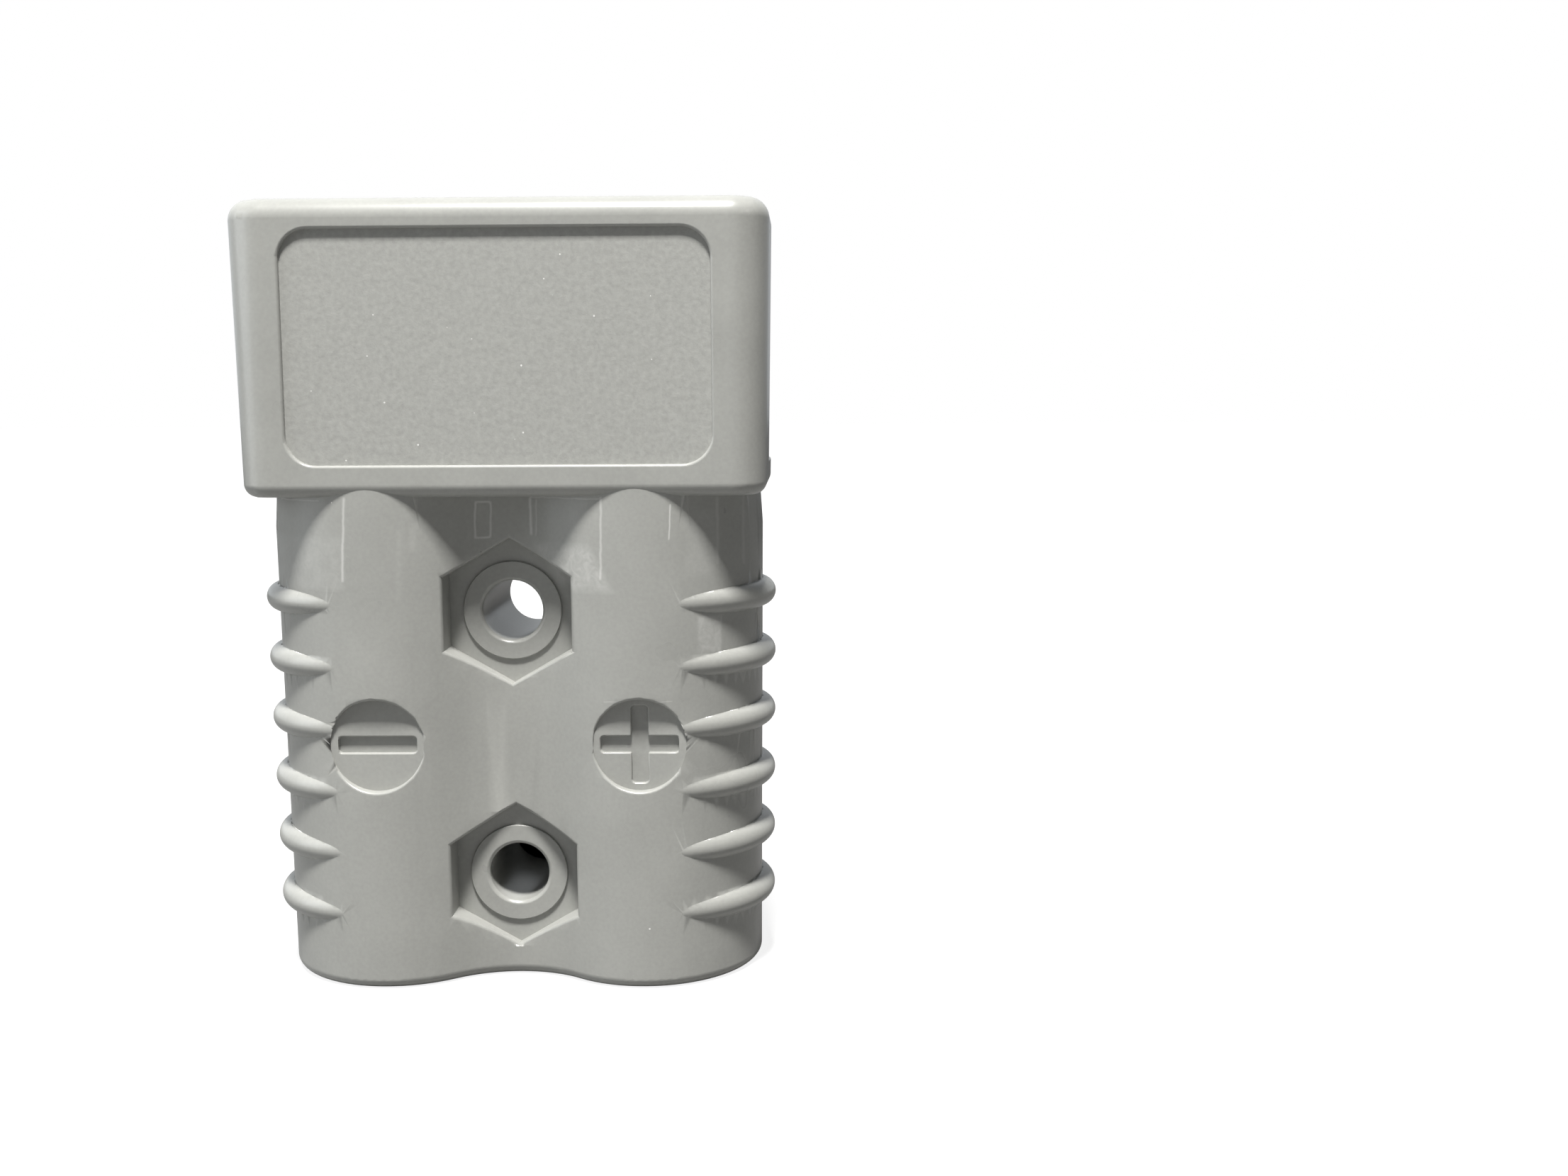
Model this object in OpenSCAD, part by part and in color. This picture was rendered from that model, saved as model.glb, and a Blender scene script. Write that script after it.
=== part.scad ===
// Genderless two-pole power connector: one housing with its two contacts and two leaf springs.
// Z runs from the cable end (z = 0) to the mating end, X runs across the two poles, and the
// label side faces -Y. The mating plane is y = 0: a second, identical connector, turned half
// a turn about X, fills the hood with its tongue and puts its own hood round this tongue.

/* [Overall] */
// Length from the cable end to the mating end
length = 80; // [78:0.5:84]
// Distance between the middles of the two poles
pole_pitch = 26.7; // [26.4:0.1:27.4]

/* [Body] */
// Radius of the round lobe about each pole, at the cable end
lobe_radius = 11.9; // [11.5:0.1:11.9]
// How much the radius of a lobe grows up to the hood, for release from the mould
lobe_draft = 0.5; // [0.2:0.1:0.5]
// Half the thickness of the web between the lobes, at its thinnest
web_half = 7.4; // [7.2:0.1:8]
// Rounding of the edge at the cable end
cable_edge = 1.2; // [0.6:0.1:1.8]

/* [Hood] */
// Width of the hood across both poles
hood_width = 53.2; // [52.7:0.1:54]
// Distance from the mating plane to the hood's label face
hood_front = 12.5; // [12.5:0.1:13.5]
// Length of the hood from its lower edge to the mating end
hood_length = 29.3; // [28:0.1:32]
// Thickness of the hood's walls
hood_wall = 2.6; // [2:0.1:2.8]
// Rounding of the hood's upright edges
hood_edge = 3.8; // [2.8:0.1:4.4]
// Rounding of the hood's edge at the mating end
hood_rim = 2.1; // [1:0.1:2.4]
// Rounding of the hood's lower edge
hood_heel = 1.3; // [0.6:0.1:1.6]
// Lead-in at the mouth of the hood
hood_lead = 0.5; // [0.3:0.1:0.8]

/* [Label recess] */
// Width of the recess that takes a label
label_width = 42.2; // [36:0.1:44]
// Height of the recess
label_height = 23; // [16:0.1:24]
// Depth of the recess
label_depth = 0.5; // [0.3:0.1:1.2]
// Corner radius of the recess
label_corner = 3; // [1:0.1:5]
// Margin between the recess and the mating end
label_margin = 3.1; // [2.5:0.1:4]

/* [Mating fit] */
// Length over which two mated connectors overlap
overlap = 26; // [24:0.5:28]
// Clearance all round a mate's tongue
mate_gap = 0.25; // [0.15:0.05:0.5]
// Rounding of the tongue's upright edges
tongue_edge = 2; // [1.7:0.1:2.6]
// Rounding of the tongue's edge at the mating end
tongue_rim = 1.2; // [0.6:0.1:1.5]
// Distance from the middle to each coding key
key_offset = 6.4; // [4:0.1:10]
// Width of a coding key
key_width = 1.6; // [1.2:0.1:2.4]
// Height of a coding key
key_height = 0.7; // [0.4:0.1:1]

/* [Contacts] */
// Width of the contact's tongue
contact_width = 14; // [12:0.1:14.2]
// Thickness of the contact's tongue
contact_thick = 3.6; // [3:0.1:4]
// Outer diameter of the crimp barrel
barrel_outer = 14.2; // [13:0.1:15.4]
// Inner diameter of the crimp barrel
barrel_bore = 11.2; // [9:0.1:11.8]
// Length of the crimp barrel
barrel_length = 26; // [20:0.5:28]
// Length of the neck between the barrel and the tongue
neck_length = 7; // [5:0.5:9]
// Radius of the contact's rounded nose, whose lower half is the latching hook
nose_radius = 2.8; // [2.4:0.1:2.9]
// Distance from the contact's nose to the mating end
nose_setback = 1.6; // [1.2:0.1:2.4]
// Clearance on each side of a contact in its slot
contact_gap = 0.3; // [0.2:0.05:0.5]

/* [Leaf springs] */
// Width of a leaf spring
spring_width = 12; // [9:0.1:13.4]
// Thickness of a leaf spring
spring_thick = 1.1; // [0.8:0.05:1.3]
// Depth of the flat foot of the spring below the mating plane
channel_depth = 7.6; // [7.4:0.1:7.8]
// Length of the spring's flat foot
spring_foot = 6; // [4:0.5:9]
// Length over which the spring rises to the contact
spring_rise = 17; // [12:0.5:18]
// How far the spring falls away again at its end, behind the contact's hook
spring_drop = 0.9; // [0.6:0.1:1.2]

/* [Cable entries] */
// Diameter of each cable entry
entry_bore = 16.4; // [15.8:0.1:17]
// Depth from the cable end to the bulkhead
entry_depth = 44; // [43.5:0.1:45.5]
// Chamfer at the mouth of each cable entry
entry_chamfer = 0.8; // [0.3:0.1:1.4]

/* [Bolt holes] */
// Diameter of the two bolt holes through the web
bolt_bore = 6.2; // [5:0.1:7]
// Distance between the two bolt holes
bolt_pitch = 27.8; // [26:0.1:30]
// Height of the first bolt hole above the cable end
bolt_first = 10.9; // [10:0.1:12]
// Width across the flats of the nut recesses
nut_flats = 13; // [11:0.1:13.4]
// Distance from the mating plane to the floor of a nut recess
nut_floor = 6.5; // [6.4:0.1:7]
// Radius of the raised ring round each bolt hole
boss_radius = 5.1; // [4.5:0.1:5.4]
// Height of the raised ring
boss_height = 0.3; // [0.2:0.1:0.6]
// Chamfer at the mouth of each bolt hole
bolt_chamfer = 0.3; // [0.1:0.1:0.6]
// Diameter of the flat round seat for a screw's head, on the back of each bolt hole
head_bore = 12.6; // [10:0.1:13]
// Distance from the mating plane to the flat of that seat
head_seat = 9.2; // [8.6:0.1:10]

/* [Finger ribs] */
// Number of ribs on each side
rib_count = 6; // [2:1:6]
// Height of the first rib above the cable end
rib_first = 7.9; // [4:0.1:9]
// Distance between ribs
rib_pitch = 6.4; // [4:0.1:6.8]
// How far a rib stands proud at the side
rib_proud = 1.4; // [0.6:0.1:1.6]
// Radius of a rib's round section
rib_section = 1.4; // [1:0.1:1.7]
// Angle from the side at which a rib sinks into the lobe
rib_end_angle = 70; // [55:1:75]

/* [Polarity marks] */
// Height of the marks above the cable end
mark_height = 25.5; // [22:0.1:28]
// Radius of the round recess that holds a mark
mark_radius = 4.75; // [3.5:0.05:5.5]
// Depth of the round recess below the crown of the lobe
mark_depth = 1.1; // [0.8:0.1:1.5]
// Length of a sign's bars
sign_length = 8; // [5:0.1:8.6]
// Width of a sign's bars
sign_width = 1.7; // [1:0.1:2.4]
// Depth of a sign below the floor of its recess
sign_depth = 0.5; // [0.2:0.1:0.8]
// Corner radius of a sign's bars
sign_corner = 0.4; // [0.1:0.05:0.5]

/* [Hidden] */
$fn = 96;

// Cutters run past the faces that they open by this much.
past = 2;

// Each side of the connector: -1 is the minus pole, 1 the plus pole.
minus = -1;
plus = 1;
pole_x = pole_pitch / 2;

// The valley between the lobes is an arc that is tangent to both.
valley_radius = (pow(pole_x, 2) + pow(web_half, 2) - pow(lobe_radius, 2))
                / (2 * (lobe_radius - web_half));
valley_y = web_half + valley_radius;

// A mate's end comes to rest on the seat.
seat_z = length - overlap - mate_gap;
hood_z = length - hood_length;
cavity_half_x = hood_width / 2 - hood_wall;
cavity_half_y = hood_front - hood_wall;
tongue_half_x = cavity_half_x - mate_gap;
tongue_half_y = cavity_half_y - mate_gap;
body_height = (hood_z + seat_z) / 2;

// Radius of a lobe at its top, and at any height above its rounded edge.
lobe_top = lobe_radius + lobe_draft;
function lobe_reach(z) = lobe_radius + lobe_draft * (z - cable_edge) / (body_height - cable_edge);

// Contact
nose_z = length - nose_setback;
hook_z = nose_z - nose_radius * 1.2;
neck_top = entry_depth - 1;
barrel_top = neck_top - neck_length;
barrel_z = barrel_top - barrel_length;
slot_half = contact_width / 2 + contact_gap;

// Leaf spring: its foot lies on the channel's floor and its crown touches the contact.
spring_z = entry_depth + contact_gap;
spring_end = hook_z - contact_gap;
crown_z = spring_z + spring_foot + spring_rise;
foot_y = channel_depth - spring_thick / 2 - 0.05;
crown_y = contact_thick + spring_thick / 2 + 0.05;
spring_steps = 40;
// The nose of the channel keeps the hook from being stubbed by a mate.
lip_y = 2 * nose_radius + contact_gap;
lip_z = nose_z + contact_gap;

// Finger ribs: a ring that is eccentric to the lobe, so that it sinks into it at both ends.
function rib_eccentric(reach) = rib_proud * (2 * reach + rib_proud)
                                / (2 * (reach * (1 - cos(rib_end_angle)) + rib_proud));
rib_sweep = 2 * (rib_end_angle + 15);

nut_radius = nut_flats / sqrt(3);
bolt_heights = [bolt_first, bolt_first + bolt_pitch];
label_z = length - label_margin - label_height;

housing_colour = [0.62, 0.62, 0.6];
contact_colour = [0.82, 0.8, 0.76];
spring_colour = [0.7, 0.71, 0.73];

// ---- Shapes used by more than one piece ----

// A rectangle centred on the origin with all four corners rounded.
module rounded_rectangle(width, depth, radius) {
  square([width - 2 * radius, depth], center = true);
  square([width, depth - 2 * radius], center = true);
  for (x = [-1, 1], y = [-1, 1])
    translate([x * (width / 2 - radius), y * (depth / 2 - radius)]) circle(radius);
}

// An upright outline with its foot on the origin, rounded by rim at the top and heel below.
module upright_outline(width, height, rim, heel) {
  middle = height / 2;
  translate([-width / 2, heel]) square([width, height - rim - heel]);
  translate([heel - width / 2, 0]) square([width - 2 * heel, middle]);
  translate([rim - width / 2, middle]) square([width - 2 * rim, height - middle]);
  for (side = [-1, 1]) {
    translate([side * (width / 2 - heel), heel]) circle(heel);
    translate([side * (width / 2 - rim), height - rim]) circle(rim);
  }
}

// Extrudes an outline drawn in y and z along X, centred on x = 0.
module along_x(width) {
  translate([-width / 2, 0, 0]) rotate([90, 0, 90]) linear_extrude(width) children();
}

// Extrudes an outline drawn in x and z along Y, from y = from to y = to.
module along_y(from, to) {
  translate([0, to, 0]) rotate([90, 0, 0]) linear_extrude(to - from) children();
}

// A block rounded by edge in plan, by rim all round its top and by heel all round its foot:
// one slab each way between the corners, and each corner revolved from the same outline.
module rounded_block(width, depth, height, edge, rim, heel) {
  along_x(width - 2 * edge) upright_outline(depth, height, rim, heel);
  along_y(edge - depth / 2, depth / 2 - edge) upright_outline(width, height, rim, heel);
  for (x = [-1, 1], y = [-1, 1])
    translate([x * (width / 2 - edge), y * (depth / 2 - edge), 0]) rotate_extrude()
      intersection() {
        upright_outline(2 * edge, height, rim, heel);
        square([edge, height]);
      }
}

// ---- Housing: outside ----

module lobe() {
  rotate_extrude() difference() {
    polygon([[0, 0], [lobe_radius, 0], [lobe_radius, cable_edge], [lobe_top, body_height],
             [0, body_height]]);
    translate([lobe_radius - cable_edge, 0]) difference() {
      translate([0, -past]) square([cable_edge + past, cable_edge + past]);
      translate([0, cable_edge]) circle(cable_edge);
    }
  }
}

// The round cutter that forms one valley: it narrows as the lobes grow, and is flared at its
// foot so that the valley's end is rounded too.
module valley() {
  valley_top = valley_radius - lobe_draft;
  rotate_extrude() {
    polygon([[0, -past], [valley_radius, -past], [valley_radius, cable_edge],
             [valley_top, body_height], [valley_top, body_height + past], [0, body_height + past]]);
    translate([0, -past]) difference() {
      square([valley_radius + cable_edge, cable_edge + past]);
      translate([valley_radius + cable_edge, cable_edge + past]) circle(cable_edge);
    }
  }
}

module web() {
  difference() {
    linear_extrude(body_height)
      polygon([[pole_x, 0], [0, valley_y], [-pole_x, 0], [0, -valley_y]]);
    for (side = [-1, 1]) translate([0, side * valley_y]) valley();
  }
}

module rib(reach) {
  rotate([0, 0, -rib_sweep / 2]) rotate_extrude(angle = rib_sweep)
    translate([reach + rib_proud - rib_eccentric(reach) - rib_section, 0])
      circle(rib_section, $fn = 48);
}

module ribs() {
  for (side = [-1, 1], i = [0 : rib_count - 1]) {
    height = rib_first + i * rib_pitch;
    reach = lobe_reach(height);
    translate([side * (pole_x + rib_eccentric(reach)), 0, height])
      mirror([side < 0 ? 1 : 0, 0, 0]) rib(reach);
  }
}

// The collar goes all the way round; above the seat only the label half is left, as a hood.
module hood() {
  difference() {
    translate([0, 0, hood_z])
      rounded_block(hood_width, 2 * hood_front, hood_length, hood_edge, hood_rim, hood_heel);
    translate([-hood_width / 2 - past, -mate_gap / 2, seat_z])
      cube([hood_width + 2 * past, hood_front + past, length - seat_z + past]);
    translate([0, 0, seat_z]) linear_extrude(length - seat_z + past)
      rounded_rectangle(2 * cavity_half_x, 2 * cavity_half_y, tongue_edge);
    along_x(2 * cavity_half_x - 2 * tongue_edge)
      polygon([[-cavity_half_y - hood_lead, length + past], [-cavity_half_y - hood_lead, length],
               [-cavity_half_y + past, length - hood_lead - past], [-cavity_half_y + past, length + past]]);
    for (side = [-1, 1]) along_y(-cavity_half_y + tongue_edge, past)
      polygon([[side * (cavity_half_x + hood_lead), length + past],
               [side * (cavity_half_x + hood_lead), length],
               [side * (cavity_half_x - past), length - hood_lead - past],
               [side * (cavity_half_x - past), length + past]]);
  }
}

module keys() {
  for (side = [-1, 1])
    translate([side * key_offset - key_width / 2, -cavity_half_y - hood_wall / 2, seat_z - 1])
      cube([key_width, hood_wall / 2 + key_height, length - seat_z - hood_lead]);
}

module key_grooves() {
  groove_width = key_width + 2 * mate_gap;
  for (side = [-1, 1])
    translate([side * key_offset - groove_width / 2, cavity_half_y - key_height - mate_gap, seat_z])
      cube([groove_width, key_height + mate_gap + past, length - seat_z + past]);
}

module tongue() {
  root_z = body_height;
  difference() {
    translate([0, 0, root_z])
      rounded_block(2 * tongue_half_x, 2 * tongue_half_y, length - root_z,
                    tongue_edge, tongue_rim, tongue_rim);
    translate([-hood_width / 2, mate_gap / 2 - hood_front, seat_z])
      cube([hood_width, hood_front, length - seat_z + past]);
    key_grooves();
  }
}

// Flat seats for the heads of the bolts, which fill the bottom of the back valley.
module head_seats() {
  for (height = bolt_heights)
    translate([0, 0, height]) along_y(0, head_seat) circle(d = head_bore);
}

// ---- Housing: what is cut into it ----

module label_recess() {
  along_y(-hood_front - past, -hood_front + label_depth)
    translate([0, label_z + label_height / 2])
      rounded_rectangle(label_width, label_height, label_corner);
}

module minus_sign() {
  rounded_rectangle(sign_length, sign_width, sign_corner);
}

module plus_sign() {
  minus_sign();
  rotate(90) minus_sign();
}

// The round recess of a mark, with its sign sunk into the recess's floor.
module polarity_mark(pole) {
  floor_y = mark_depth - lobe_reach(mark_height);
  translate([pole * pole_x, 0, mark_height]) {
    along_y(-lobe_top - past, floor_y) circle(mark_radius);
    along_y(floor_y - past / 2, floor_y + sign_depth)
      if (pole == plus) plus_sign(); else minus_sign();
  }
}

module bolt_hole(height) {
  translate([0, 0, height]) {
    along_y(-lobe_top, lobe_top) circle(d = bolt_bore);
    difference() {
      along_y(-lobe_top - past, -nut_floor) rotate(30) circle(nut_radius, $fn = 6);
      along_y(-nut_floor - boss_height, -nut_floor + 1) circle(boss_radius);
    }
    translate([0, -nut_floor - boss_height, 0]) rotate([-90, 0, 0])
      cylinder(h = bolt_chamfer, r1 = bolt_bore / 2 + bolt_chamfer, r2 = bolt_bore / 2);
    along_y(head_seat, lobe_top + past) circle(d = head_bore);
  }
}

module cable_entry() {
  translate([0, 0, -past]) cylinder(h = entry_depth + past, d = entry_bore);
  translate([0, 0, -0.01])
    cylinder(h = entry_chamfer, r1 = entry_bore / 2 + entry_chamfer, r2 = entry_bore / 2);
}

// Slot through the bulkhead and channel in the tongue, deep enough for the leaf spring.
module contact_channel() {
  translate([-slot_half, -contact_gap, entry_depth - 1])
    cube([2 * slot_half, channel_depth + contact_gap, lip_z - entry_depth + 1]);
  translate([-slot_half, -contact_gap, lip_z - 1])
    cube([2 * slot_half, lip_y + contact_gap, length - lip_z + 1 + past]);
}

module housing() {
  color(housing_colour) difference() {
    union() {
      for (pole = [minus, plus]) translate([pole * pole_x, 0]) lobe();
      web();
      ribs();
      head_seats();
      hood();
      keys();
      tongue();
    }
    label_recess();
    for (pole = [minus, plus]) {
      polarity_mark(pole);
      translate([pole * pole_x, 0]) cable_entry();
      translate([pole * pole_x, 0]) contact_channel();
    }
    for (height = bolt_heights) bolt_hole(height);
  }
}

// ---- Contacts and springs ----

// Side view of the contact's tongue, with its hooked nose.
module contact_profile() {
  translate([0, neck_top]) square([contact_thick, nose_z - nose_radius - neck_top]);
  intersection() {
    translate([nose_radius, nose_z - nose_radius]) circle(nose_radius);
    translate([0, hook_z]) square([2 * nose_radius, nose_z - hook_z]);
  }
}

module contact() {
  color(contact_colour) {
    translate([0, 0, barrel_z]) difference() {
      cylinder(h = barrel_length, d = barrel_outer);
      translate([0, 0, -1]) cylinder(h = barrel_length - 1, d = barrel_bore);
    }
    hull() {
      translate([0, 0, barrel_top - 0.1]) cylinder(h = 0.1, d = barrel_outer, $fn = 64);
      translate([-contact_width / 2, 0, neck_top]) cube([contact_width, contact_thick, 0.1]);
    }
    along_x(contact_width) contact_profile();
  }
}

// Height of the spring's middle line: flat foot, smooth rise, then a slight fall to its end.
function spring_y(z) =
  let (rise = min(max((z - spring_z - spring_foot) / spring_rise, 0), 1),
       fall = max(z - crown_z, 0) / (spring_end - crown_z))
  foot_y + (crown_y - foot_y) * (1 - cos(180 * rise)) / 2 + spring_drop * pow(fall, 2);

module spring() {
  steps = [for (i = [0 : spring_steps]) spring_z + (spring_end - spring_z) * i / spring_steps];
  color(spring_colour) along_x(spring_width) polygon(concat(
    [for (z = steps) [spring_y(z) - spring_thick / 2, z]],
    [for (i = [spring_steps : -1 : 0]) [spring_y(steps[i]) + spring_thick / 2, steps[i]]]));
}

module contact_minus() { translate([minus * pole_x, 0]) contact(); }
module contact_plus() { translate([plus * pole_x, 0]) contact(); }
module spring_minus() { translate([minus * pole_x, 0]) spring(); }
module spring_plus() { translate([plus * pole_x, 0]) spring(); }

housing();
contact_minus();
contact_plus();
spring_minus();
spring_plus();
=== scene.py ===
# %% [markdown]
# # A genderless power connector
# The real object is a grey plastic housing with two plated copper contacts, each held up by a leaf
# spring. A hood on the label side and a tongue behind it let two identical housings plug together.
# The shapes come from the imported model. This lesson gives them their finish, adds the small marks
# that the mould leaves and a few painted reflections and glints, and lights them on a plain white
# table.

# %% Load the imported model
import bpy
import bmesh
import math
from mathutils import Matrix, Vector


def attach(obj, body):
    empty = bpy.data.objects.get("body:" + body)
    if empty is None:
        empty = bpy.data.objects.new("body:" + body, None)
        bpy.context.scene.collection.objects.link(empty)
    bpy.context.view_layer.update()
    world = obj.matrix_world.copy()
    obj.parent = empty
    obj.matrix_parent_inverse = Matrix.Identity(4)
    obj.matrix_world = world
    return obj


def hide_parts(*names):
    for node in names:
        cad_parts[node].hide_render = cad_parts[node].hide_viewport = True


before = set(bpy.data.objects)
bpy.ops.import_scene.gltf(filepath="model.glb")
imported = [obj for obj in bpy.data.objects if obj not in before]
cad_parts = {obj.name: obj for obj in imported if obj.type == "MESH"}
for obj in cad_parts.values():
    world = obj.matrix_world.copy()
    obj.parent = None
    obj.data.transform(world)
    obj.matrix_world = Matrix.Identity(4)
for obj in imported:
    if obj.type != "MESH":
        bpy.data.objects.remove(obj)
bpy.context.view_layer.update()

# %% [markdown]
# Blender works in metres, but the connector's own sizes are easier to read in millimetres. One
# short helper turns a number of millimetres into metres, and the sizes that the finish needs get
# their names here.

# %% Millimetres and named sizes
MM = 0.001


def mm(*values):
    """Turns millimetres into the metres that Blender uses."""
    return tuple(v * MM for v in values)


POLE_X = 13.35
HOOD_FRONT = -12.5
HOOD_LOW, HOOD_TOP = 50.7, 80.0
HOOD_SIDE = 24.6
LABEL_FLOOR = -12.0
LABEL_SIDE, LABEL_LOW, LABEL_TOP = 22, 53, 78
MARK_Z, MARK_RADIUS, MARK_FLOOR = 25.5, 4.75, -11.2
BOLT_HEIGHTS = (10.9, 38.7)
BORE_RADIUS = 8.4
print("Poles at", mm(-POLE_X, POLE_X))

# %% [markdown]
# ## The skin of the housing
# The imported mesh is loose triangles. A copy is welded into one skin, and its flat faces are joined
# into single faces, so that its round walls can be shaded smooth and its rims can be rounded.

# %% Weld a copy of each piece
WELD = 0.002 * MM


def only(piece):
    """Makes one object the only selected one, and the active one."""
    bpy.ops.object.select_all(action="DESELECT")
    piece.select_set(True)
    bpy.context.view_layer.objects.active = piece


def welded_copy(node, name):
    """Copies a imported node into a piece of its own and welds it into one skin."""
    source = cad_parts[node]
    piece = source.copy()
    piece.data = source.data.copy()
    piece.name = piece.data.name = name
    piece.parent = None
    piece.matrix_world = Matrix.Identity(4)
    bpy.context.scene.collection.objects.link(piece)
    only(piece)
    bpy.ops.object.mode_set(mode="EDIT")
    bpy.ops.mesh.select_all(action="SELECT")
    bpy.ops.mesh.remove_doubles(threshold=WELD)
    bpy.ops.mesh.dissolve_limited(angle_limit=math.radians(0.6))
    bpy.ops.object.mode_set(mode="OBJECT")
    piece.data.materials.clear()
    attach(piece, "root")
    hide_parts(node)
    print(name, "has", len(piece.data.polygons), "faces")
    return piece


housing = welded_copy("housing", "moulded_housing")
contacts = [welded_copy("contact_" + pole, "plated_contact_" + pole) for pole in ("minus", "plus")]
springs = [welded_copy("spring_" + pole, "leaf_spring_" + pole) for pole in ("minus", "plus")]

# %% [markdown]
# A mould never leaves a knife edge: the cutter that shapes each cavity, and the polishing after it,
# round every rim a little. Those small radii catch the light as the bright lines that draw a
# recess. Each family of rims is chosen by where it lies and by how sharp it is, and is bevelled
# with its own radius. The ribs stay as they are, because they sink into the lobes at nothing.

# %% Round the rims
SHARP = math.radians(35)
FLAT = 0.02
BOSS_REACH, NUT_INNER, NUT_REACH, NUT_FRONT = 5.3, 5.5, 7.8, -6.9
RIB_TIP, RIBS_LOW, RIBS_TOP = 17.3, 5, 43.5


def near_mark(x, y, z, reach):
    return y < -8 and math.hypot(abs(x) - POLE_X, z - MARK_Z) < reach and abs(x) < RIB_TIP


def near_bolt(x, y, z, reach):
    return y < 0 and min(math.hypot(x, z - height) for height in BOLT_HEIGHTS) < reach


def is_label_rim(x, y, z):
    return y < HOOD_FRONT + FLAT and abs(x) < LABEL_SIDE and LABEL_LOW < z < LABEL_TOP


def is_mark_rim(x, y, z):
    on_rim = near_mark(x, y, z, MARK_RADIUS + 0.1) and not near_mark(x, y, z, MARK_RADIUS - 0.1)
    return on_rim and y < MARK_FLOOR


def is_sign_rim(x, y, z):
    return near_mark(x, y, z, MARK_RADIUS - 0.2) and y > MARK_FLOOR


def is_nut_rim(x, y, z):
    return near_bolt(x, y, z, NUT_REACH) and not near_bolt(x, y, z, NUT_INNER) and y < NUT_FRONT


def is_boss_rim(x, y, z):
    return near_bolt(x, y, z, BOSS_REACH)


def is_other_rim(x, y, z):
    """The rims of the mouth, the tongue, the back seats and the cable entries."""
    in_bore = math.hypot(abs(x) - POLE_X, y) < BORE_RADIUS and 1.5 < z < 50
    by_ribs = abs(x) > RIB_TIP - 0.1 and RIBS_LOW < z < RIBS_TOP
    under_hood = 50 < z < 52.4
    front_done = y < -6 and z < LABEL_TOP and abs(x) < LABEL_SIDE
    return not (in_bore or by_ribs or under_hood or front_done)


def round_rims(piece, chosen, radius, steps=3):
    """Bevels the sharp outer edges whose middle passes a test given in millimetres."""
    only(piece)
    bpy.ops.object.mode_set(mode="EDIT")
    bpy.ops.mesh.select_mode(type="EDGE")
    bpy.ops.mesh.select_all(action="DESELECT")
    shape = bmesh.from_edit_mesh(piece.data)
    count = 0
    for edge in shape.edges:
        middle = (edge.verts[0].co + edge.verts[1].co) / (2 * MM)
        if len(edge.link_faces) == 2 and edge.calc_face_angle() > SHARP \
                and edge.is_convex and chosen(*middle):
            edge.select = True
            count += 1
    bmesh.update_edit_mesh(piece.data)
    if count:
        bpy.ops.mesh.bevel(offset=radius * MM, segments=steps, affect="EDGES", clamp_overlap=False,
                           miter_outer="SHARP", loop_slide=True)
    bpy.ops.object.mode_set(mode="OBJECT")
    print(chosen.__name__, count, "edges")


round_rims(housing, is_label_rim, 0.3)
round_rims(housing, is_nut_rim, 0.32)
round_rims(housing, is_mark_rim, 0.28)
round_rims(housing, is_sign_rim, 0.16, 2)
round_rims(housing, is_boss_rim, 0.1, 2)
round_rims(housing, is_other_rim, 0.18, 2)

# %% [markdown]
# The hood's side walls lean outwards by half a millimetre over their height, so that the moulding
# lets go of its cavity. Only the outer skin of the hood leans; its inside stays true to the mate.

# %% Give the hood its draft
HOOD_LEAN = 0.25
middle_z = (HOOD_LOW + HOOD_TOP) / 2
for corner in housing.data.vertices:
    x, z = corner.co.x / MM, corner.co.z / MM
    if z > HOOD_LOW - 0.05 and abs(x) > HOOD_SIDE:
        corner.co.x += math.copysign(HOOD_LEAN, x) * (z - middle_z) / (HOOD_TOP - middle_z) * MM
print("Hood leans by", HOOD_LEAN, "mm each way")

# %% [markdown]
# Round walls shade smoothly, but the inner corners where a lobe runs under the hood or a rib sinks
# into a lobe are real creases, and stay sharp even where they are shallow.

# %% Shade the skins smooth
ROUND_ANGLE, CREASE_OUTSIDE, CREASE_INSIDE = math.radians(40), math.radians(9), math.radians(20)
OUTER_DEPTH = 7.8


def keep_creases(piece):
    """Marks the inner corners as sharp; a small bore has coarser facets than the outside."""
    shape = bmesh.new()
    shape.from_mesh(piece.data)
    for edge in shape.edges:
        middle = (edge.verts[0].co + edge.verts[1].co) / (2 * MM)
        outside = abs(middle.y) > OUTER_DEPTH or abs(middle.x) > POLE_X + BORE_RADIUS
        limit = CREASE_OUTSIDE if outside else CREASE_INSIDE
        if len(edge.link_faces) == 2 and not edge.is_convex and edge.calc_face_angle() > limit:
            edge.smooth = False
    shape.to_mesh(piece.data)
    shape.free()


for piece in [housing] + contacts + springs:
    only(piece)
    bpy.ops.object.shade_smooth_by_angle(angle=ROUND_ANGLE)
    keep_creases(piece)
    weighted = piece.modifiers.new("weighted normals", "WEIGHTED_NORMAL")
    weighted.keep_sharp = True
    bpy.ops.object.modifier_apply(modifier=weighted.name)
    print(piece.name, len(piece.data.polygons), "faces")

# %% Helpers for materials


def node_group(name, inputs, outputs):
    """Starts a shader node group with named inputs (name, kind, default) and outputs."""
    group = bpy.data.node_groups.new(name, "ShaderNodeTree")
    for label, kind, default in inputs:
        socket = group.interface.new_socket(label, in_out="INPUT", socket_type=kind)
        socket.default_value = default
    for label, kind in outputs:
        group.interface.new_socket(label, in_out="OUTPUT", socket_type=kind)
    return group, group.nodes.new("NodeGroupInput"), group.nodes.new("NodeGroupOutput")


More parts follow.
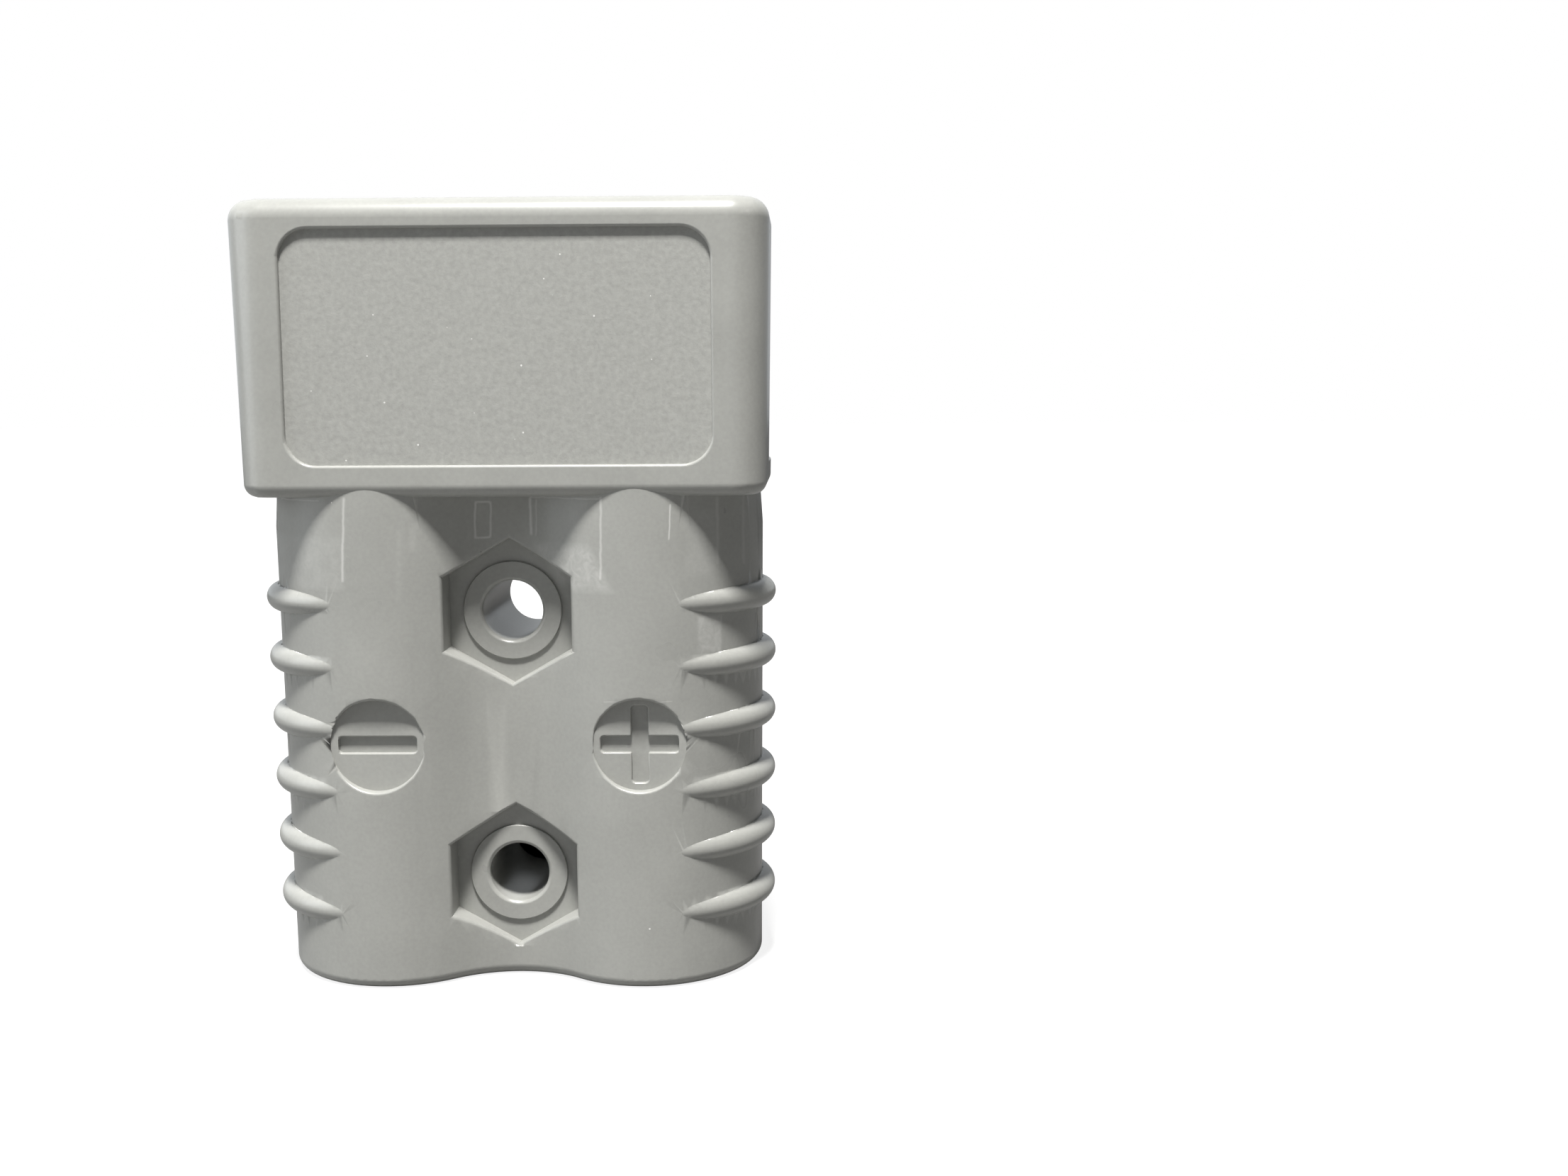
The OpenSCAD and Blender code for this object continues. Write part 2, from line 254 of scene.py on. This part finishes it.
def put(tree, kind, settings=None, **sockets):
    """Adds a node, sets its properties, and fills or links its named sockets."""
    node = tree.nodes.new(kind)
    for key, value in (settings or {}).items():
        setattr(node, key, value)
    for key, value in sockets.items():
        name = int(key[1:]) if key[1:].isdigit() else key.replace("_", " ")
        socket = node.inputs[name]
        if isinstance(value, bpy.types.NodeSocket):
            tree.links.new(value, socket)
        else:
            socket.default_value = value
    return node


def maths(tree, operation, *values):
    """One Math node; gives its output."""
    return put(tree, "ShaderNodeMath", {"operation": operation},
               **{"_%d" % i: value for i, value in enumerate(values)}).outputs[0]


def spread(tree, value, low, high, start=0.0, end=1.0, smooth=False):
    """Maps start..end to low..high and clamps it."""
    settings = {"interpolation_type": "SMOOTHSTEP" if smooth else "LINEAR"}
    node = put(tree, "ShaderNodeMapRange", settings, Value=value, From_Min=start, From_Max=end,
               To_Min=low, To_Max=high)
    return node.outputs[0]


def blend(tree, amount, first, second, how="MIX"):
    """Mixes two colours."""
    node = put(tree, "ShaderNodeMix", {"data_type": "RGBA", "blend_type": how},
               _0=amount, _6=first, _7=second)
    return node.outputs[2]


# %% [markdown]
# ## Effects that both plastics share
# Two small node groups hold the effects: pale specks, which are dust on the housing and painted
# glints on the label ground, and one mark of the mould, which also draws painted reflections and
# sheen.

# %% Pale specks: dust and painted glints
FLOAT, VECTOR = "NodeSocketFloat", "NodeSocketVector"


def make_specks():
    """Tiny pale flecks, used as dust on the housing and as painted glints on the label ground: a
    share of the cells of a fine Voronoi pattern holds a small dot.
    """
    group, given, out = node_group(
        "dust specks and painted glints",
        [("Vector", VECTOR, (0, 0, 0)), ("Spacing", FLOAT, 1.0), ("Size", FLOAT, 0.1),
         ("Share", FLOAT, 0.2)],
        [("Mask", FLOAT)])
    density = maths(group, "DIVIDE", 1 / MM, given.outputs["Spacing"])
    cells = put(group, "ShaderNodeTexVoronoi", Vector=given.outputs["Vector"], Scale=density)
    chosen = put(group, "ShaderNodeSeparateColor", Color=cells.outputs["Color"])
    rare = maths(group, "LESS_THAN", chosen.outputs[0], given.outputs["Share"])
    reach = maths(group, "MULTIPLY", given.outputs["Size"], chosen.outputs[1])
    near = maths(group, "LESS_THAN", cells.outputs["Distance"], reach)
    group.links.new(maths(group, "MULTIPLY", rare, near), out.inputs["Mask"])
    return group


specks = make_specks()

# %% [markdown]
# Where two steel inserts of the mould meet, the plastic keeps a faint line. One group draws such a
# mark on the label side: a leaning box with a soft border, as a filled shape and as an outline. The
# same group also paints light: a small frame and two short strips under the hood are painted
# reflections, and one soft patch between the lobes is painted sheen.

# %% One mark of the mould, also used for painted light


def make_marks_and_painted_light():
    group, given, out = node_group(
        "mould marks and painted light",
        [("Vector", VECTOR, (0, 0, 0)), ("X", FLOAT, 0.0), ("Z", FLOAT, 0.0),
         ("Half width", FLOAT, 1.0), ("Half height", FLOAT, 1.0), ("Lean", FLOAT, 0.0),
         ("Blur", FLOAT, 0.1)],
        [("Fill", FLOAT), ("Outline", FLOAT)])
    place = put(group, "ShaderNodeSeparateXYZ", Vector=given.outputs["Vector"])
    x, y, z = (maths(group, "DIVIDE", place.outputs[i], MM) for i in range(3))
    up = maths(group, "SUBTRACT", z, given.outputs["Z"])
    across = maths(group, "SUBTRACT", x, given.outputs["X"])
    across = maths(group, "SUBTRACT", across, maths(group, "MULTIPLY", up, given.outputs["Lean"]))
    side = maths(group, "SUBTRACT", maths(group, "ABSOLUTE", across), given.outputs["Half width"])
    end = maths(group, "SUBTRACT", maths(group, "ABSOLUTE", up), given.outputs["Half height"])
    outside = maths(group, "SMOOTH_MAX", side, end, 0.3)
    front = maths(group, "LESS_THAN", y, 0.0)
    inside = maths(group, "DIVIDE", maths(group, "MULTIPLY", outside, -1.0), given.outputs["Blur"])
    inside = put(group, "ShaderNodeClamp", Value=maths(group, "ADD", inside, 0.5)).outputs[0]
    rim = maths(group, "DIVIDE", maths(group, "ABSOLUTE", outside), given.outputs["Blur"])
    rim = put(group, "ShaderNodeClamp", Value=maths(group, "SUBTRACT", 1.0, rim)).outputs[0]
    group.links.new(maths(group, "MULTIPLY", inside, front), out.inputs["Fill"])
    group.links.new(maths(group, "MULTIPLY", rim, front), out.inputs["Outline"])
    return group


marks_and_painted_light = make_marks_and_painted_light()


def use_group(tree, group, **sockets):
    """Places a node group and fills or links its inputs."""
    return put(tree, "ShaderNodeGroup", {"node_tree": group}, **sockets)


def new_material(name):
    """Starts a material with a bare Principled BSDF."""
    material = bpy.data.materials.new(name)
    material.use_nodes = True
    tree = material.node_tree
    tree.nodes.clear()
    shader = put(tree, "ShaderNodeBsdfPrincipled")
    put(tree, "ShaderNodeOutputMaterial", Surface=shader.outputs[0])
    return material, tree, shader


# %% Grey plastic
GREY = (0.34, 0.343, 0.325, 1)
PALE = (0.72, 0.72, 0.70, 1)


def make_plastic():
    material, tree, shader = new_material("grey polycarbonate")
    place = put(tree, "ShaderNodeTexCoord").outputs["Object"]
    shake = put(tree, "ShaderNodeTexNoise", Vector=place, Scale=700.0, Detail=2.0)
    shift = put(tree, "ShaderNodeVectorMath", {"operation": "SCALE"}, _0=shake.outputs["Color"])
    shift.inputs["Scale"].default_value = 0.25 * MM
    ragged = put(tree, "ShaderNodeVectorMath", {"operation": "ADD"},
                 _0=place, _1=shift.outputs[0]).outputs[0]

    def mark(output, x, z, half_width, half_height, lean=0.0, blur=0.15):
        node = use_group(tree, marks_and_painted_light, Vector=ragged, X=x, Z=z, Half_width=half_width,
                         Half_height=half_height, Lean=lean, Blur=blur)
        return node.outputs[output]

    def total(*amounts):
        """Adds masks, each times its strength."""
        result = 0.0
        for mask, strength in amounts:
            result = maths(tree, "MULTIPLY_ADD", mask, strength, result)
        return result

    # Faint lines of the mould inserts, plus painted reflections: the frame at x -2.4 mm and the
    # strips at 2.45 and 3.05 mm, under the hood, are pale marks that stand in for reflections.
    lines = total(
        (mark("Fill", -15.65, 46.6, 0.08, 4.2, 0.06, 0.25), 0.55),
        (mark("Fill", 10.0, 46.6, 0.06, 4.1, 0.02, 0.25), 0.6),
        (mark("Outline", -2.4, 48.3, 0.75, 1.8, 0.04, 0.16), 0.45),
        (mark("Fill", 2.45, 48.6, 0.10, 1.9, 0.0, 0.25), 0.6),
        (mark("Fill", 3.05, 48.5, 0.05, 1.9, 0.03, 0.15), 0.35),
        (mark("Fill", 16.9, 48.3, 0.05, 1.8, 0.06, 0.15), 0.8),
        (mark("Fill", 21.5, 47.2, 0.08, 3.4, 0.0, 0.3), 0.25),
        (mark("Fill", 24.0, 47.0, 0.06, 3.5, 0.0, 0.3), 0.22),
        (mark("Fill", 6.2, 50.55, 3.8, 0.04, 0.0, 0.12), 0.4),
        (mark("Fill", -20.7, 50.5, 2.6, 0.04, 0.0, 0.12), 0.4),
        (mark("Fill", 10.9, 30.15, 1.0, 0.03, 0.0, 0.1), 0.35),
        (mark("Fill", 16.1, 30.15, 0.9, 0.03, 0.0, 0.1), 0.35))
    # Pale, rougher patches; the soft one at x 6.9 mm in the hollow between the lobes is painted
    # sheen, a lighter area that stands in for reflected light.
    patches_and_sheen = total(
        (mark("Fill", 6.9, 43.6, 2.9, 2.2, -0.5, 0.9), 0.32),
        (mark("Fill", -21.0, 44.2, 5.3, 2.6, 0.06, 0.5), 0.12),
        (mark("Fill", 20.6, 36.7, 1.15, 1.9, 0.02, 0.3), 0.30),
        (mark("Fill", 20.0, 46.0, 1.5, 3.2, 0.05, 0.9), 0.12),
        (mark("Fill", -8.8, 46.8, 0.35, 1.4, 0.1, 0.4), 0.12),
        (mark("Fill", -10.2, 44.0, 0.2, 3.5, 0.05, 0.4), 0.10))
    scuff = put(tree, "ShaderNodeTexNoise", Vector=place, Scale=1100.0, Detail=4.0, Distortion=1.2)
    scuffed = spread(tree, scuff.outputs["Fac"], 0.45, 1.45, 0.35, 0.65)
    patches_and_sheen = maths(tree, "MULTIPLY", patches_and_sheen, scuffed)

    dust = use_group(tree, specks, Vector=place, Spacing=2.8, Size=0.06, Share=0.10).outputs["Mask"]
    cloud = put(tree, "ShaderNodeTexNoise", Vector=place, Scale=110.0, Detail=3.0)
    grain = put(tree, "ShaderNodeTexNoise", Vector=place, Scale=2600.0, Detail=2.0)
    tone = maths(tree, "MULTIPLY", spread(tree, cloud.outputs["Fac"], 0.95, 1.04, 0.3, 0.7),
                 spread(tree, grain.outputs["Fac"], 0.965, 1.035, 0.3, 0.7))
    colour = blend(tree, 1.0, GREY, tone, "MULTIPLY")
    pale = maths(tree, "MAXIMUM", dust, maths(tree, "MULTIPLY_ADD", patches_and_sheen, 0.6, lines))
    colour = blend(tree, pale, colour, PALE)
    tree.links.new(colour, shader.inputs["Base Color"])
    polish = spread(tree, cloud.outputs["Fac"], 0.24, 0.34)
    rough = maths(tree, "MULTIPLY_ADD", patches_and_sheen, 0.5, polish)
    tree.links.new(rough, shader.inputs["Roughness"])
    waves = put(tree, "ShaderNodeTexNoise", Vector=place, Scale=240.0, Detail=2.0)
    height = maths(tree, "MULTIPLY_ADD", lines, 1.5, waves.outputs["Fac"])
    bump = put(tree, "ShaderNodeBump", Height=height, Strength=0.10, Distance=0.03 * MM)
    tree.links.new(bump.outputs[0], shader.inputs["Normal"])
    return material


housing.data.materials.append(make_plastic())

# %% Spark-eroded ground of the label recess


def make_label_ground():
    material, tree, shader = new_material("matt label ground")
    place = put(tree, "ShaderNodeTexCoord").outputs["Object"]
    grain = put(tree, "ShaderNodeTexNoise", Vector=place, Scale=1900.0, Detail=4.0, Roughness=0.65)
    # The pale dots on this ground are painted glints: the sparkle of the eroded grain is put into
    # the colour as pale specks.
    dots = use_group(tree, specks, Vector=place, Spacing=0.8, Size=0.12, Share=0.1)
    glints = dots.outputs["Mask"]
    tone = spread(tree, grain.outputs["Fac"], 0.9, 1.1, 0.3, 0.7)
    colour = blend(tree, 1.0, GREY, tone, "MULTIPLY")
    tree.links.new(blend(tree, glints, colour, PALE), shader.inputs["Base Color"])
    shader.inputs["Roughness"].default_value = 0.6
    bump = put(tree, "ShaderNodeBump", Height=grain.outputs["Fac"], Strength=0.45,
               Distance=0.05 * MM)
    tree.links.new(bump.outputs[0], shader.inputs["Normal"])
    return material


housing.data.materials.append(make_label_ground())
label_faces = 0
for face in housing.data.polygons:
    on_floor = abs(face.center.y - LABEL_FLOOR * MM) < FLAT * MM and face.normal.y < -0.9
    if on_floor and face.center.z > HOOD_LOW * MM:
        face.material_index = 1
        label_faces += 1
print("Label ground:", label_faces, "faces")

# %% Metal


def make_metal(name, colour, roughness, streak):
    material, tree, shader = new_material(name)
    place = put(tree, "ShaderNodeTexCoord").outputs["Object"]
    drawn = put(tree, "ShaderNodeMapping", Vector=place, Scale=streak)
    lines = put(tree, "ShaderNodeTexNoise", Vector=drawn.outputs[0], Scale=900.0, Detail=4.0)
    cloud = put(tree, "ShaderNodeTexNoise", Vector=place, Scale=140.0, Detail=3.0)
    tone = spread(tree, cloud.outputs["Fac"], 0.85, 1.05)
    tree.links.new(blend(tree, 1.0, colour, tone, "MULTIPLY"), shader.inputs["Base Color"])
    shader.inputs["Metallic"].default_value = 1.0
    rough = spread(tree, lines.outputs["Fac"], roughness - 0.08, roughness + 0.12)
    tree.links.new(rough, shader.inputs["Roughness"])
    bump = put(tree, "ShaderNodeBump", Height=lines.outputs["Fac"], Strength=0.15,
               Distance=0.01 * MM)
    tree.links.new(bump.outputs[0], shader.inputs["Normal"])
    return material


silver = make_metal("silver plate", (0.83, 0.81, 0.77, 1), 0.24, (1, 1, 0.08))
steel = make_metal("spring strip", (0.62, 0.62, 0.62, 1), 0.3, (1, 1, 0.05))
for piece in contacts:
    piece.data.materials.append(silver)
for piece in springs:
    piece.data.materials.append(steel)

# %% [markdown]
# ## Table, room and lamps
# The connector stands on its cable end on a white table that runs into a white room. To the camera
# the table is plain white paper that still takes the connector's shadow. To the light it is a much
# darker table, so that it does not fill the shadows from below.

# %% Table
TABLE_SIZE = 6.0
bpy.ops.mesh.primitive_plane_add(size=TABLE_SIZE, location=(0, 0, 0))
table = bpy.context.object
table.name = "white_table"
paper, tree, shader = new_material("white table")
shader.inputs["Base Color"].default_value = (0.2, 0.2, 0.2, 1)
shader.inputs["Roughness"].default_value = 0.9
shader.inputs["Specular IOR Level"].default_value = 0.0
ray = put(tree, "ShaderNodeLightPath")
place = put(tree, "ShaderNodeTexCoord").outputs["Object"]
away = put(tree, "ShaderNodeVectorMath", {"operation": "LENGTH"}, _0=place).outputs["Value"]
strength = spread(tree, away, 0.86, 1.0, 0.05, 0.6, True)
glow = put(tree, "ShaderNodeEmission", Color=(1, 1, 1, 1), Strength=strength)
add = put(tree, "ShaderNodeAddShader", _0=shader.outputs[0], _1=glow.outputs[0])
seen = put(tree, "ShaderNodeMixShader", _0=ray.outputs["Is Camera Ray"], _1=shader.outputs[0],
           _2=add.outputs[0])
tree.links.new(seen.outputs[0], tree.nodes["Material Output"].inputs[0])
table.data.materials.append(paper)

# %% [markdown]
# The room is not equally bright all round. Behind the connector and at its left there are bright
# walls; in front, where the camera stands, and at its right it is dark. Reflections in the plastic
# show this as pale edges on the left and dark ones on the right.

# %% Room
world = bpy.data.worlds.new("white studio")
bpy.context.scene.world = world
world.use_nodes = True
tree = world.node_tree
tree.nodes.clear()
path = put(tree, "ShaderNodeLightPath")
direction = put(tree, "ShaderNodeTexCoord").outputs["Generated"]
way = put(tree, "ShaderNodeSeparateXYZ", Vector=direction)
left = spread(tree, way.outputs[0], 0.7, 0.0, -0.95, -0.15, True)
behind = spread(tree, way.outputs[1], 0.0, 0.7, 0.1, 0.9, True)
above = spread(tree, way.outputs[2], 0.0, 0.35, 0.2, 0.9, True)
level = maths(tree, "ADD", maths(tree, "ADD", left, behind), maths(tree, "ADD", above, 0.04))
level = maths(tree, "MULTIPLY", level, spread(tree, path.outputs["Is Diffuse Ray"], 1.0, 0.18))
room = put(tree, "ShaderNodeBackground", Color=(0.93, 0.97, 1.0, 1), Strength=level)
white = put(tree, "ShaderNodeBackground", Color=(1, 1, 1, 1), Strength=1.0)
mix = put(tree, "ShaderNodeMixShader", _0=path.outputs["Is Camera Ray"], _1=room.outputs[0],
          _2=white.outputs[0])
put(tree, "ShaderNodeOutputWorld", Surface=mix.outputs[0])

# %% Lamps


def soft_lamp(name, azimuth, elevation, distance, size, power, colour=(1, 1, 1), aim=(0, 0, 0.04)):
    """A soft rectangular lamp that looks at the connector from an azimuth (0 is the label side)."""
    data = bpy.data.lights.new(name, "AREA")
    data.shape = "RECTANGLE"
    data.size, data.size_y = size
    data.energy = power
    data.color = colour
    lamp = bpy.data.objects.new(name, data)
    a, e = math.radians(azimuth), math.radians(elevation)
    back = Vector((math.sin(a) * math.cos(e), -math.cos(a) * math.cos(e), math.sin(e)))
    lamp.location = Vector(aim) + back * distance
    lamp.rotation_mode = "QUATERNION"
    lamp.rotation_quaternion = (-back).to_track_quat("-Z", "Y")
    bpy.context.scene.collection.objects.link(lamp)


soft_lamp("overhead", 0, 69, 1.0, (0.16, 0.16), 23.0, (1, 0.985, 0.96))
soft_lamp("left window", -75, 15, 0.8, (0.5, 0.7), 2.6, (0.93, 0.97, 1))
soft_lamp("camera side", 10, 8, 0.9, (0.6, 0.6), 0.35)

# %% Camera
lens = bpy.data.cameras.new("camera")
lens.sensor_fit = "HORIZONTAL"
lens.sensor_width = 36
lens.lens = 37.43
lens.clip_start = 0.005
camera = bpy.data.objects.new("camera", lens)
bpy.context.scene.collection.objects.link(camera)
TURN, TILT, LEAN = 0.015, 0.119, -0.006
STAND = mm(30.5, -173.04, 60.77)
camera.matrix_world = (Matrix.Translation(STAND) @ Matrix.Rotation(TURN, 4, "Z")
                       @ Matrix.Rotation(math.pi / 2 - TILT, 4, "X")
                       @ Matrix.Rotation(LEAN, 4, "Z"))
bpy.context.scene.camera = camera
bpy.context.scene.view_settings.view_transform = "Standard"
